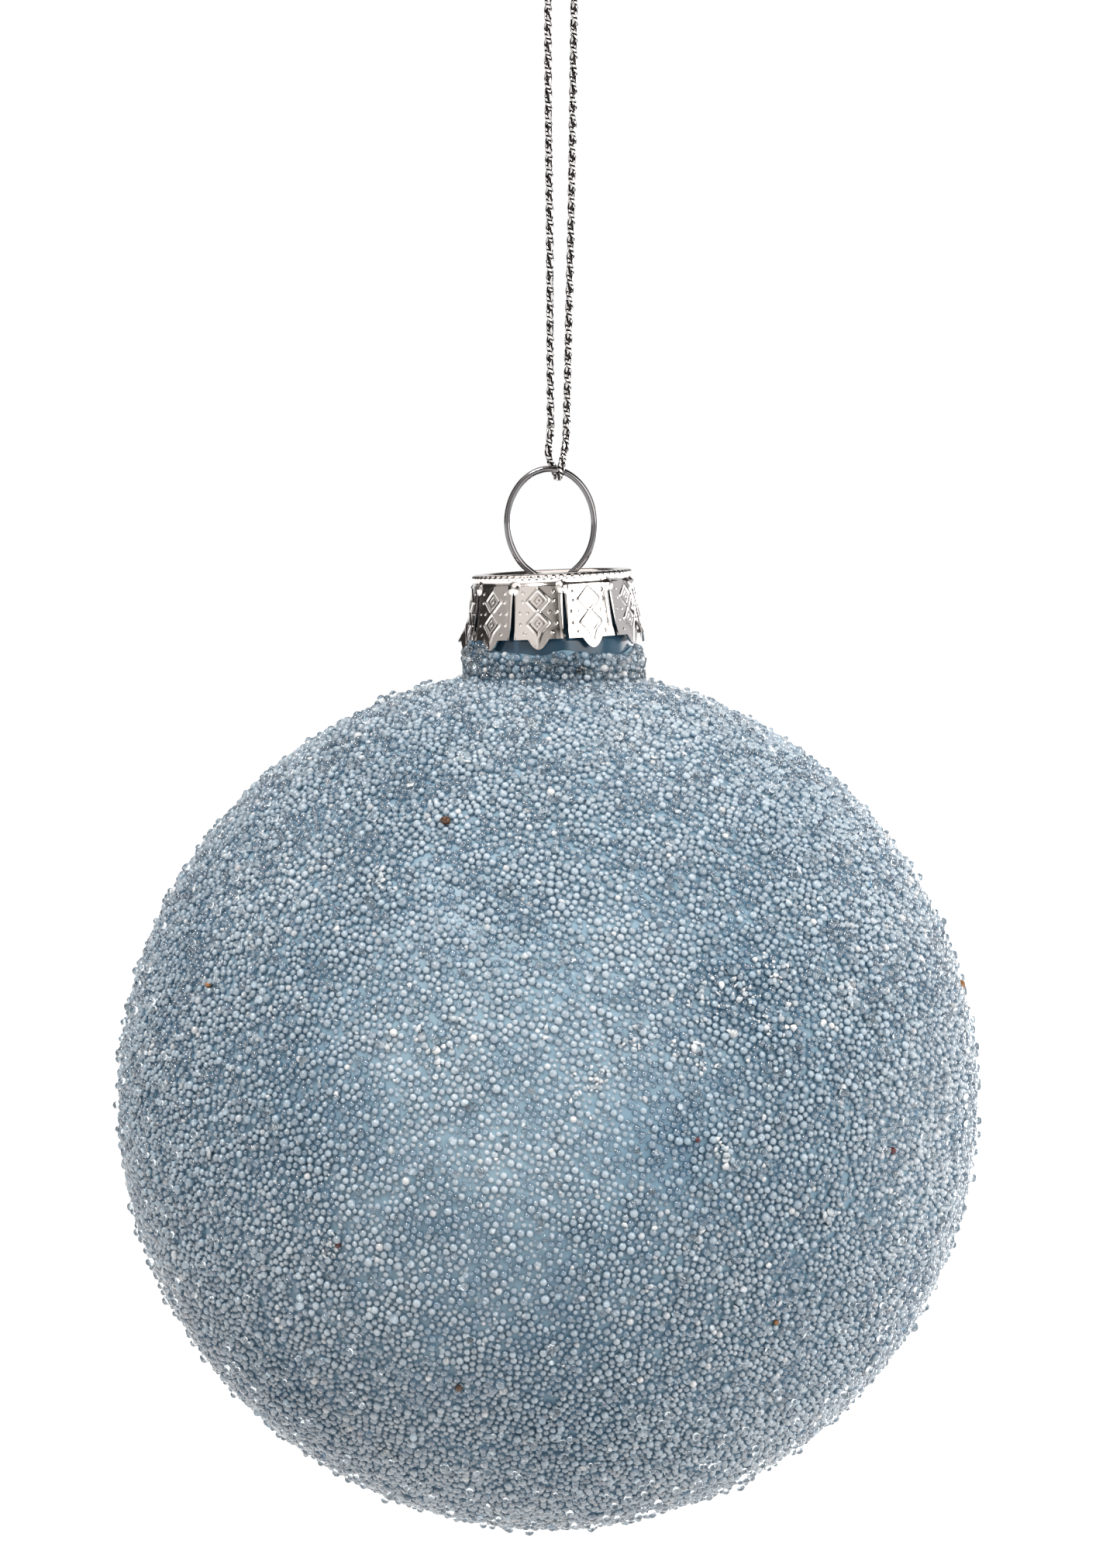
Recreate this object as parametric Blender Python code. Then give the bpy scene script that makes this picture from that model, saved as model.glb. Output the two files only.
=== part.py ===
"""Glass ball ornament on a metallic thread: a blown glass ball with a neck, a coat of glass microbeads,
a stamped cap with sprung tabs, a wire hanger with two spring legs, and a knotted cord loop.

Units are metres, +Z is up. The origin is the closed top of the cord loop, under its knot, and the
ornament hangs plumb below it. The front of the ornament faces -Y.
"""

import math

import bmesh
import bpy
from mathutils import Matrix, Vector

MM = 0.001

# Driving dimensions
BALL_RADIUS = 39.2 * MM  # outside of the blown glass
GLASS_WALL = 0.8 * MM
COAT_GAP = 0.3 * MM  # room left between the glass and the solid of the bead coat
COAT_RADIUS = 40.1 * MM  # over the beads
COLLAR_RADIUS = 7.45 * MM  # wide foot of the neck, bare under the cap
NECK_RADIUS = 6.6 * MM  # upper neck, inside the cap
BORE_RADIUS = 5.9 * MM
CAP_TILT = math.radians(3.3)  # the cap sits crooked, higher on the right
CAP_SHIFT = -0.24 * MM  # of the cap's top centre from the ball's axis
CAP_SHEET = 0.3 * MM
TAB_COUNT = 10
WIRE_RADIUS = 0.3 * MM
RING_HALF_WIDTH = 4.04 * MM  # of the oval, on the wire's centre line
RING_HALF_HEIGHT = 5.08 * MM
CORD_RADIUS = 0.35 * MM

# Heights above the ball's centre
CAP_TOP = 49.0 * MM
NECK_TOP = 47.6 * MM
COLLAR_TOP = 43.0 * MM
COAT_TOP = 41.2 * MM

# Heights in the frame of the part
BALL_Z = -105.3 * MM
CAP_TOP_Z = BALL_Z + CAP_TOP

# Heights above the cap's top, along the cap's own axis
RING_CENTRE = 4.45 * MM
RING_SHIFT = 0.12 * MM  # sideways, from the cap's axis
PLATE_TOP = -0.35 * MM  # the recessed disc inside the raised rim
SLOT_TOP = -1.6 * MM
SKIRT_BOTTOM = -5.95 * MM
TONGUE_LENGTH = 0.95 * MM

# Where the bight turns against the strands, and where it holds the ring's wire
TWIST_Z = -42.6 * MM
NOD_PLACE = Vector((0.22 * MM, 0.0, -46.85 * MM))

# Resolution
ROUND_SEGMENTS = 40
ARC_STEPS = 20
INNER_ARC_STEPS = 14
MERGE = 0.00001


def clear_scene():
    for obj in list(bpy.data.objects):
        bpy.data.objects.remove(obj, do_unlink=True)


def material(name, colour, roughness, metallic=0.0):
    made = bpy.data.materials.new(name)
    made.use_nodes = True
    shader = made.node_tree.nodes["Principled BSDF"]
    shader.inputs["Base Color"].default_value = (*colour, 1.0)
    shader.inputs["Roughness"].default_value = roughness
    shader.inputs["Metallic"].default_value = metallic
    return made


def link_mesh(name, mesh, finish):
    obj = bpy.data.objects.new(name, mesh)
    bpy.context.scene.collection.objects.link(obj)
    obj.data.materials.append(finish)
    return obj


def hang_on_axis(obj, axis_name, place):
    """Parents a moving piece to an empty on its joint's axis, and leaves the piece where it is."""
    pivot = bpy.data.objects.new(axis_name, None)
    bpy.context.scene.collection.objects.link(pivot)
    pivot.matrix_world = place
    obj.parent = pivot
    obj.matrix_parent_inverse = place.inverted()


def smooth(mesh, sharp_deg=35):
    mesh.shade_smooth()
    mesh.set_sharp_from_angle(angle=math.radians(sharp_deg))


def arc(radius, start, end, steps):
    """Points (r, z) on a circle about the ball's centre, by angle from the top in radians."""
    angles = (start + (end - start) * i / steps for i in range(steps + 1))
    return [(radius * math.sin(a), radius * math.cos(a)) for a in angles]


def angle_at(radius, r):
    """The angle from the top at which a sphere of this radius has the distance r from its axis."""
    return math.asin(r / radius)


def turned(name, profile, finish):
    """Turns a profile of (r, z) points about the ball's axis. Its two ends lie on the axis."""
    mesh = bpy.data.meshes.new(name)
    points = [(r, 0.0, z) for r, z in profile]
    edges = [(i, i + 1) for i in range(len(points) - 1)]
    mesh.from_pydata(points, edges, [])
    obj = link_mesh(name, mesh, finish)
    obj.location = (0.0, 0.0, BALL_Z)
    screw = obj.modifiers.new("Turn", "SCREW")
    screw.axis = "Z"
    screw.angle = math.tau
    screw.steps = ROUND_SEGMENTS
    screw.render_steps = ROUND_SEGMENTS
    screw.use_merge_vertices = True
    screw.merge_threshold = MERGE
    screw.use_smooth_shade = True
    return obj


def smooth_route(points, spacing):
    """Points a fixed spacing apart on a Catmull-Rom curve through the given points."""
    pts = [Vector(p) for p in points]
    pts = [2 * pts[0] - pts[1], *pts, 2 * pts[-1] - pts[-2]]
    fine = []
    for a, b, c, d in zip(pts, pts[1:], pts[2:], pts[3:]):
        for i in range(24):
            t = i / 24
            fine.append(
                0.5
                * (
                    2 * b
                    + (c - a) * t
                    + (2 * a - 5 * b + 4 * c - d) * t**2
                    + (3 * b - a - 3 * c + d) * t**3
                )
            )
    fine.append(pts[-2])
    total = sum((q - p).length for p, q in zip(fine, fine[1:]))
    count = max(2, round(total / spacing))
    out, walked, goal = [fine[0]], 0.0, 1
    for p, q in zip(fine, fine[1:]):
        step = (q - p).length
        while goal < count and walked + step >= total * goal / count:
            out.append(p.lerp(q, (total * goal / count - walked) / step))
            goal += 1
        walked += step
    return [*out, fine[-1]]


def tube(name, route, radius, finish):
    """A round tube with closed ends along a list of points."""
    curve = bpy.data.curves.new(name, "CURVE")
    curve.dimensions = "3D"
    curve.bevel_depth = radius
    curve.bevel_resolution = 2
    curve.use_fill_caps = True
    spline = curve.splines.new("POLY")
    spline.points.add(len(route) - 1)
    for point, place in zip(spline.points, route):
        point.co = (*place, 1.0)
    return link_mesh(name, curve, finish)


# Glass


def glass_ball(finish):
    """Blown shell with its neck: inside from the bottom up, over the lip, and down the outside."""
    inner = BALL_RADIUS - GLASS_WALL
    inside = arc(inner, math.pi, angle_at(inner, 7.3 * MM), INNER_ARC_STEPS)
    bore = [
        (6.5 * MM, 38.6 * MM),
        (6.1 * MM, 39.8 * MM),
        (BORE_RADIUS, 41.2 * MM),
        (BORE_RADIUS, 44.4 * MM),
        (BORE_RADIUS, NECK_TOP - 0.25 * MM),
        (BORE_RADIUS + 0.15 * MM, NECK_TOP - 0.05 * MM),
    ]
    lip = [
        (BORE_RADIUS + 0.35 * MM, NECK_TOP),
        (NECK_RADIUS - 0.1 * MM, NECK_TOP - 0.08 * MM),
        (NECK_RADIUS, NECK_TOP - 0.3 * MM),
    ]
    neck = [
        (NECK_RADIUS, COLLAR_TOP + 1.5 * MM),
        (NECK_RADIUS + 0.2 * MM, COLLAR_TOP + 0.9 * MM),
        (COLLAR_RADIUS - 0.2 * MM, COLLAR_TOP + 0.3 * MM),
        (COLLAR_RADIUS, COLLAR_TOP - 0.3 * MM),
        (COLLAR_RADIUS, 40.5 * MM),
        (COLLAR_RADIUS + 0.05 * MM, 39.5 * MM),
        (COLLAR_RADIUS + 0.3 * MM, 38.85 * MM),
    ]
    outside = arc(BALL_RADIUS, angle_at(BALL_RADIUS, 8.3 * MM), math.pi, ARC_STEPS)
    return turned("glass_ball", inside + bore + lip + neck + outside, finish)


def bead_coat(finish):
    """The layer of beads as one skin over the ball and the foot of the neck, open round the collar."""
    inner = BALL_RADIUS + COAT_GAP
    inside = arc(inner, math.pi, angle_at(inner, 8.7 * MM), ARC_STEPS)
    neck_radius = COLLAR_RADIUS + COAT_GAP
    neck_inside = [
        (8.1 * MM, 39.1 * MM),
        (neck_radius + 0.05 * MM, 39.7 * MM),
        (neck_radius, COAT_TOP - 0.15 * MM),
    ]
    edge = [
        (neck_radius + 0.2 * MM, COAT_TOP),
        (8.3 * MM, COAT_TOP),
        (8.5 * MM, COAT_TOP - 0.2 * MM),
    ]
    foot = [(8.55 * MM, 40.0 * MM), (8.75 * MM, 39.4 * MM)]
    outside = arc(COAT_RADIUS, angle_at(COAT_RADIUS, 9.2 * MM), math.pi, ARC_STEPS)
    return turned("bead_coat", inside + neck_inside + edge + foot + outside, finish)


# Cap


def cap_frame():
    """From the cap's own frame, with its top centre at the origin, to the part's frame."""
    return Matrix.Translation((CAP_SHIFT, 0.0, CAP_TOP_Z)) @ Matrix.Rotation(-CAP_TILT, 4, "Y")


def cap_profile():
    """The outer side of the cap from the disc out over the rim and down the skirt, as (r, z)."""
    disc = [(2.9 * MM, PLATE_TOP), (6.0 * MM, PLATE_TOP)]
    rim = [
        (6.25 * MM, -0.06 * MM),
        (6.5 * MM, 0.0),
        (6.95 * MM, 0.0),
        (7.28 * MM, -0.16 * MM),
        (7.35 * MM, -0.42 * MM),
        (7.25 * MM, -0.78 * MM),
    ]
    skirt = [
        (7.42 * MM, -1.05 * MM),
        (7.5 * MM, SLOT_TOP),
        (7.66 * MM, -2.7 * MM),
        (7.83 * MM, -3.8 * MM),
        (8.02 * MM, -4.9 * MM),
        (8.25 * MM, SKIRT_BOTTOM),
    ]
    return disc + rim + skirt


def tab_columns():
    """Columns of one tab: the place across it from -1 to 1, and how far the bottom edge drops there."""
    return [(-1.0, 0.0), (-0.42, 0.0), (-0.22, 0.62), (0.0, 1.0), (0.22, 0.62), (0.42, 0.0), (1.0, 0.0)]


def slot_half_width(z):
    """Half the width of the slot between two tabs, which is closed above its top and widens downwards."""
    if z >= SLOT_TOP:
        return 0.0
    depth = (SLOT_TOP - z) / (SLOT_TOP - SKIRT_BOTTOM)
    return (0.12 + 0.16 * depth) * MM


def cap_crown(finish):
    """Stamped crown: recessed disc, raised rim, and a flared skirt cut into tabs with a tongue each."""
    half_tab = math.pi / TAB_COUNT
    first_slot = math.radians(7.6)
    columns = tab_columns()
    profile = cap_profile()
    bm = bmesh.new()
    centre = bm.verts.new((0.0, 0.0, PLATE_TOP))
    for tab in range(TAB_COUNT):
        middle = -math.pi / 2 + first_slot + half_tab * (2 * tab + 1)
        rows = []
        for r, z in profile:
            half_angle = half_tab - slot_half_width(z) / r
            drop = TONGUE_LENGTH if z == SKIRT_BOTTOM else 0.0
            row = []
            for across, share in columns:
                angle = middle + across * half_angle
                out = r + 0.15 * drop * share
                place = (out * math.cos(angle), out * math.sin(angle), z - drop * share)
                row.append(bm.verts.new(place))
            rows.append(row)
        for a, b in zip(rows[0], rows[0][1:]):
            bm.faces.new((centre, a, b))
        for upper, lower in zip(rows, rows[1:]):
            for i in range(len(columns) - 1):
                bm.faces.new((upper[i], lower[i], lower[i + 1], upper[i + 1]))
    bmesh.ops.remove_doubles(bm, verts=bm.verts, dist=MERGE)
    bmesh.ops.recalc_face_normals(bm, faces=bm.faces)
    mesh = bpy.data.meshes.new("cap_crown")
    bm.to_mesh(mesh)
    bm.free()
    smooth(mesh)
    crown = link_mesh("cap_crown", mesh, finish)
    crown.matrix_world = cap_frame()
    wall = crown.modifiers.new("Sheet", "SOLIDIFY")
    wall.thickness = CAP_SHEET
    wall.offset = -1.0
    wall.use_even_offset = True
    for side in (-1, 1):
        cut = crown.modifiers.new("Leg hole", "BOOLEAN")
        cut.operation = "DIFFERENCE"
        cut.object = leg_hole_cutter(side)
    middle = Matrix.Translation((RING_SHIFT, 0.0, PLATE_TOP - CAP_SHEET / 2))
    hang_on_axis(crown, "ring_tilt_axis", cap_frame() @ middle)
    return crown


def leg_hole_cutter(side):
    """A pin through the disc where one leg of the wire goes down."""
    mesh = bpy.data.meshes.new("leg_hole_cutter")
    bm = bmesh.new()
    bmesh.ops.create_cone(
        bm, cap_ends=True, segments=16, radius1=0.8 * MM, radius2=0.8 * MM, depth=2.0 * MM
    )
    bm.to_mesh(mesh)
    bm.free()
    cutter = bpy.data.objects.new("leg_hole_cutter", mesh)
    bpy.context.scene.collection.objects.link(cutter)
    across = RING_SHIFT + side * 1.55 * MM
    cutter.matrix_world = cap_frame() @ Matrix.Translation((across, 0.0, PLATE_TOP))
    cutter.hide_render = True
    cutter.display_type = "WIRE"
    return cutter


# Wire hanger


def leg_route(side):
    """One leg from the disc's hole down, hand-set points: through the hole, then out to the bore's wall."""
    hole = [(1.62, -0.28), (1.32, -0.66), (1.2, -1.1)]
    through = [cap_frame() @ Vector((RING_SHIFT + side * x * MM, 0.0, z * MM)) for x, z in hole]
    spread = [(1.35, -1.9), (1.95, -3.4), (3.0, -5.6), (4.0, -8.2), (4.7, -11.4), (4.95, -15.0), (4.95, -19.5)]
    inside = [Vector((side * x * MM, 0.0, CAP_TOP_Z + z * MM)) for x, z in spread]
    return through + inside


def ring_route():
    """The oval from above the left hole over the top to above the right hole."""
    stop = math.asin(4.4 * MM / RING_HALF_HEIGHT)
    start, end = math.pi + stop, -stop
    steps = 26
    route = []
    for i in range(steps + 1):
        a = start + (end - start) * i / steps
        x = RING_SHIFT + RING_HALF_WIDTH * math.cos(a)
        z = RING_CENTRE + RING_HALF_HEIGHT * math.sin(a)
        route.append(cap_frame() @ Vector((x, 0.0, z)))
    return route


def wire_hanger(finish):
    """One length of spring wire: left leg, oval ring, right leg."""
    route = leg_route(-1)[::-1] + ring_route() + leg_route(1)
    wire = tube("wire_hanger", smooth_route(route, 0.85 * MM), WIRE_RADIUS, finish)
    hang_on_axis(wire, "ring_nod_axis", Matrix.Translation(NOD_PLACE))
    return wire


# Cord, with its route's points in millimetres from the top of the loop down

LEFT_STRAND = [
    (-0.5, 0.0, 0.62),
    (-0.78, 0.0, -0.2),
    (-1.08, 0.0, -1.5),
    (-1.2, 0.0, -3.2),
    (-1.12, 0.0, -10.0),
    (-0.95, 0.01, -18.0),
    (-0.77, 0.02, -26.2),
    (-0.63, 0.03, -35.0),
    (-0.5, 0.06, -42.4),
]
BIGHT = [
    (-0.5, 0.07, -42.8),
    (-0.56, 0.16, -44.0),
    (-0.68, 0.36, -45.1),
    (-0.52, 0.6, -46.0),
    (-0.22, 0.75, -46.7),
    (0.02, 0.52, -47.36),
    (0.22, 0.0, -47.63),
    (0.42, -0.52, -47.36),
    (0.52, -0.74, -46.7),
    (0.68, -0.6, -45.8),
    (0.86, -0.36, -44.8),
    (0.95, -0.14, -43.8),
    (0.97, -0.07, -42.8),
]
RIGHT_STRAND = [
    (0.98, -0.06, -42.4),
    (1.05, -0.03, -35.0),
    (1.15, -0.02, -26.2),
    (1.2, -0.01, -18.0),
    (1.21, 0.0, -10.0),
    (1.2, 0.0, -3.2),
    (1.08, 0.0, -1.5),
    (0.78, 0.0, -0.2),
    (0.5, 0.0, 0.62),
]


def cord_tube(name, route, spacing, finish):
    places = [Vector(p) * MM for p in route]
    return tube(name, smooth_route(places, spacing), CORD_RADIUS, finish)


def cord_knot(finish):
    """The overhand knot that closes the loop, as one rounded barrel with two short tails."""
    mesh = bpy.data.meshes.new("cord_knot")
    bm = bmesh.new()
    bmesh.ops.create_uvsphere(bm, u_segments=16, v_segments=10, radius=1.0)
    bmesh.ops.scale(bm, vec=(1.15 * MM, 1.05 * MM, 1.35 * MM), verts=bm.verts)
    bmesh.ops.translate(bm, vec=(0.0, 0.0, 2.3 * MM), verts=bm.verts)
    bm.to_mesh(mesh)
    bm.free()
    mesh.shade_smooth()
    knot = link_mesh("cord_knot", mesh, finish)
    for side in (-1, 1):
        join = knot.modifiers.new("Tail", "BOOLEAN")
        join.operation = "UNION"
        join.object = knot_tail(side)
    return knot


def knot_tail(side):
    """A straight tail that leans out of the top of the knot."""
    length = 4.6 * MM
    mesh = bpy.data.meshes.new("knot_tail")
    bm = bmesh.new()
    bmesh.ops.create_cone(
        bm, cap_ends=True, segments=8, radius1=CORD_RADIUS, radius2=CORD_RADIUS, depth=length
    )
    bm.to_mesh(mesh)
    bm.free()
    tail = bpy.data.objects.new("knot_tail", mesh)
    bpy.context.scene.collection.objects.link(tail)
    lean = Matrix.Rotation(side * math.radians(16), 4, "Y")
    foot = Matrix.Translation((side * 0.45 * MM, 0.0, 2.6 * MM))
    tail.matrix_world = foot @ lean @ Matrix.Translation((0.0, 0.0, length / 2))
    tail.hide_render = True
    tail.display_type = "WIRE"
    return tail


def build():
    clear_scene()
    blue_glass = material("blue_lacquered_glass", (0.16, 0.32, 0.44), 0.12)
    bead_glass = material("glass_microbeads", (0.36, 0.46, 0.53), 0.35)
    cap_metal = material("bright_stamped_sheet", (0.83, 0.82, 0.81), 0.15, 1.0)
    wire_metal = material("nickel_plated_wire", (0.72, 0.72, 0.73), 0.18, 1.0)
    thread = material("metallic_silver_thread", (0.62, 0.62, 0.63), 0.35, 0.9)
    glass_ball(blue_glass)
    bead_coat(bead_glass)
    cap_crown(cap_metal)
    wire_hanger(wire_metal)
    cord_tube("cord_strand_left", LEFT_STRAND, 1.7 * MM, thread)
    bight = cord_tube("cord_bight", BIGHT, 0.45 * MM, thread)
    hang_on_axis(bight, "cord_twist_axis", Matrix.Translation((0.0, 0.0, TWIST_Z)))
    cord_tube("cord_strand_right", RIGHT_STRAND, 1.7 * MM, thread)
    cord_knot(thread)


build()
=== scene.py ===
"""Glass ball ornament: a blue lacquered glass ball crusted with glass microbeads, under a pressed metal cap
with a spring wire hanger, on a knotted loop of braided metallic cord.

Metres, +Z up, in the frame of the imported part: its origin is the top of the cord loop, under the knot.
"""

import math

import bmesh
import bpy
import numpy as np
from mathutils import Matrix, Vector, kdtree, noise


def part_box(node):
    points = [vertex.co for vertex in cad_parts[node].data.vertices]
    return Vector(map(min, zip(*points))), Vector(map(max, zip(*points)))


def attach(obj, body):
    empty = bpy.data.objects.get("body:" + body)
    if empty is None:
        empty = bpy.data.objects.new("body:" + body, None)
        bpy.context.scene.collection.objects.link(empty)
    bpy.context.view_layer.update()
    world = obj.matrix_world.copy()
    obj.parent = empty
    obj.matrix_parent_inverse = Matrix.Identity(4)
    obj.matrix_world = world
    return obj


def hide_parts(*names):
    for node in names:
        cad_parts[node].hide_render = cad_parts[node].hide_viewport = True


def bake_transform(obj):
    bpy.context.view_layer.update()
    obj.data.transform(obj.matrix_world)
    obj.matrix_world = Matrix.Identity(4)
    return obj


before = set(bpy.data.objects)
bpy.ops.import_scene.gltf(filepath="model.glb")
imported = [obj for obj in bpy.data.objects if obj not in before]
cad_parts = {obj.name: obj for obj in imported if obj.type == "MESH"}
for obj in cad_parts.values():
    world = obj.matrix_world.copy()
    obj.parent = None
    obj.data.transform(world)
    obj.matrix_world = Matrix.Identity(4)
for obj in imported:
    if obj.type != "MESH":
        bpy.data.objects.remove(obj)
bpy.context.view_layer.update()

MM = 0.001

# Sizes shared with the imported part
BALL_RADIUS = 39.2 * MM
GLASS_WALL = 0.8 * MM
BALL = Vector((0.0, 0.0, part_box("glass_ball")[0].z + BALL_RADIUS))  # the ball's centre
GLUE_RADIUS = 39.45 * MM
CRUST_FOOT = 39.5  # in millimetres from the ball's centre
COLLAR_RADIUS = 7.45 * MM
CAP_TOP = 49.0 * MM  # above the ball's centre
CAP_TILT = math.radians(3.3)
CAP_SHIFT = -0.24 * MM
TAB_COUNT = 10
FIRST_SLOT = math.radians(7.6)  # from the front towards the right
WIRE_RADIUS = 0.3 * MM
RING_HALF_WIDTH = 4.04 * MM
RING_HALF_HEIGHT = 5.08 * MM
RING_CENTRE = 4.45 * MM  # above the cap's top
RING_SHIFT = 0.12 * MM
PLATE_TOP = -0.35 * MM  # from the cap's top
TONGUE_LENGTH = 0.95 * MM

# The camera, as the ornament is seen: a long lens a little above, on a stand a little out of plumb
EYE_DISTANCE = 0.85
EYE_ELEVATION = math.radians(3.0)
EYE_ROLL = math.radians(0.69)
SEEN_HEIGHT = 145.8 * MM
AIM = Vector((0.77 * MM, 0.0, -76.05 * MM))

# The cord's route in millimetres, from the knot down to the ring and up again
LEFT_STRAND = [
    (-0.5, 0.0, 0.62), (-0.78, 0.0, -0.2), (-1.08, 0.0, -1.5), (-1.2, 0.0, -3.2),
    (-1.12, 0.0, -10.0), (-0.95, 0.01, -18.0), (-0.77, 0.02, -26.2), (-0.63, 0.03, -35.0),
    (-0.5, 0.06, -42.4),
]
BIGHT = [
    (-0.5, 0.07, -42.8), (-0.56, 0.16, -44.0), (-0.68, 0.36, -45.1), (-0.52, 0.6, -46.0),
    (-0.22, 0.75, -46.7), (0.02, 0.52, -47.36), (0.22, 0.0, -47.63), (0.42, -0.52, -47.36),
    (0.52, -0.74, -46.7), (0.68, -0.6, -45.8), (0.86, -0.36, -44.8), (0.95, -0.14, -43.8),
    (0.97, -0.07, -42.8),
]
RIGHT_STRAND = [
    (0.98, -0.06, -42.4), (1.05, -0.03, -35.0), (1.15, -0.02, -26.2), (1.2, -0.01, -18.0),
    (1.21, 0.0, -10.0), (1.2, 0.0, -3.2), (1.08, 0.0, -1.5), (0.78, 0.0, -0.2), (0.5, 0.0, 0.62),
]


# Small tools


def linear(code):
    """Linear RGBA from an sRGB hex value such as 8fa3b0."""
    parts = [int(code[i : i + 2], 16) / 255 for i in (0, 2, 4)]
    return (*[c / 12.92 if c <= 0.04045 else ((c + 0.055) / 1.055) ** 2.4 for c in parts], 1.0)


def node(tree, kind, inputs=None, **settings):
    """Adds a shader node. inputs gives a socket, by name or number, a value or another node's output."""
    made = tree.nodes.new("ShaderNode" + kind)
    for name, value in settings.items():
        setattr(made, name, value)
    for name, value in (inputs or {}).items():
        if isinstance(value, bpy.types.NodeSocket):
            tree.links.new(value, made.inputs[name])
        else:
            made.inputs[name].default_value = value
    return made


RGBA = {"data_type": "RGBA"}
SMOOTH = {"interpolation_type": "SMOOTHSTEP"}


def finish_of(name, **sockets):
    """A new material with its Principled shader's sockets set, its tree and that shader."""
    made = bpy.data.materials.new(name)
    made.use_nodes = True
    shader = made.node_tree.nodes["Principled BSDF"]
    for socket, value in sockets.items():
        shader.inputs[socket.replace("_", " ")].default_value = value
    return made, made.node_tree, shader


def two_tone(tree, shader, share, first, second):
    """Colours a surface between two sRGB colours by a pattern's output."""
    tone = node(tree, "Mix", {0: share, 6: linear(first), 7: linear(second)}, **RGBA)
    tree.links.new(tone.outputs[2], shader.inputs["Base Color"])


def uneven_gloss(tree, shader, share, low, high, least, most):
    """Roughness from least to most as a pattern's output goes from low to high."""
    ends = {"Value": share, "From Min": low, "From Max": high, "To Min": least, "To Max": most}
    tree.links.new(node(tree, "MapRange", ends).outputs[0], shader.inputs["Roughness"])


def pick_only(obj=None):
    """Leaves object mode and selects one object, or none."""
    if bpy.context.object and bpy.context.object.mode != "OBJECT":
        bpy.ops.object.mode_set(mode="OBJECT")
    bpy.ops.object.select_all(action="DESELECT")
    if obj:
        obj.select_set(True)
        bpy.context.view_layer.objects.active = obj


def select_where(obj, test):
    """In edit mode, selects the vertices whose place passes the test, and what lies between them."""
    bpy.ops.mesh.select_all(action="DESELECT")
    bm = bmesh.from_edit_mesh(obj.data)
    for vertex in bm.verts:
        vertex.select_set(test(vertex.co))
    bm.select_flush(True)
    bmesh.update_edit_mesh(obj.data)


def draw_ring(scale, rise):
    """In edit mode, extrudes the selected ring about the Z axis, scales it and lifts it."""
    bpy.ops.mesh.extrude_region_move(TRANSFORM_OT_translate={"value": (0.0, 0.0, rise)})
    bpy.ops.transform.resize(value=(scale, scale, 1.0), center_override=(0.0, 0.0, 0.0))


def draw_profile(profile):
    """In edit mode, extrudes the selected ring through (r, z) points, of which the first is where it is."""
    for (r, z), (next_r, next_z) in zip(profile, profile[1:]):
        draw_ring(next_r / r, next_z - z)


def apply_modifier(obj, kind, **settings):
    modifier = obj.modifiers.new(kind.title(), kind)
    for name, value in settings.items():
        setattr(modifier, name, value)
    pick_only(obj)
    bpy.ops.object.modifier_apply(modifier=modifier.name)


def settle(obj, name, finishes, place=Matrix.Identity(4), smooth_deg=40):
    """Names a finished piece, puts its place in its mesh, and gives it its materials and smooth shading."""
    pick_only(obj)
    obj.data.transform(place @ obj.matrix_world)
    obj.matrix_world = Matrix.Identity(4)
    obj.name = name
    obj.data.name = name
    obj.data.materials.clear()
    for finish in finishes:
        obj.data.materials.append(finish)
    bpy.ops.object.shade_smooth_by_angle(angle=math.radians(smooth_deg))
    return obj


def add_object(name, data):
    made = bpy.data.objects.new(name, data)
    bpy.context.scene.collection.objects.link(made)
    return made


def new_mesh(name, points, faces):
    """An object from vertex places and faces."""
    mesh = bpy.data.meshes.new(name)
    mesh.from_pydata([tuple(p) for p in points], [], [tuple(f) for f in faces])
    mesh.validate()
    return add_object(name, mesh)


def unit(rows):
    """Each row of a table of vectors, at length 1."""
    return rows / np.linalg.norm(rows, axis=1)[:, None]


def smooth_route(points, spacing):
    """Points a fixed spacing apart on a Catmull-Rom curve through the given points."""
    pts = [Vector(p) for p in points]
    pts = [2 * pts[0] - pts[1], *pts, 2 * pts[-1] - pts[-2]]
    fine = []
    for a, b, c, d in zip(pts, pts[1:], pts[2:], pts[3:]):
        for i in range(24):
            t = i / 24
            bend = (2 * a - 5 * b + 4 * c - d) * t**2 + (3 * b - a - 3 * c + d) * t**3
            fine.append(0.5 * (2 * b + (c - a) * t + bend))
    fine.append(pts[-2])
    total = sum((q - p).length for p, q in zip(fine, fine[1:]))
    count = max(2, round(total / spacing))
    out, walked, goal = [fine[0]], 0.0, 1
    for p, q in zip(fine, fine[1:]):
        step = (q - p).length
        while goal < count and walked + step >= total * goal / count:
            out.append(p.lerp(q, (total * goal / count - walked) / step))
            goal += 1
        walked += step
    return [*out, fine[-1]]


def cap_frame():
    """From the cap's own frame, with its top centre at the origin, to the part's frame."""
    top = BALL + Vector((CAP_SHIFT, 0.0, CAP_TOP))
    return Matrix.Translation(top) @ Matrix.Rotation(-CAP_TILT, 4, "Y")


# Camera, light and floor


def make_camera():
    data = bpy.data.cameras.new("camera")
    data.sensor_width = 36.0
    data.lens = data.sensor_width * EYE_DISTANCE / SEEN_HEIGHT
    data.clip_start = 0.05
    data.clip_end = 20.0
    camera = add_object("camera", data)
    back = Vector((0.0, -math.cos(EYE_ELEVATION), math.sin(EYE_ELEVATION)))
    level = back.to_track_quat("Z", "Y").to_matrix().to_4x4()
    place = Matrix.Translation(AIM + back * EYE_DISTANCE)
    camera.matrix_world = place @ level @ Matrix.Rotation(EYE_ROLL, 4, "Z")
    bpy.context.scene.camera = camera


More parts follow.
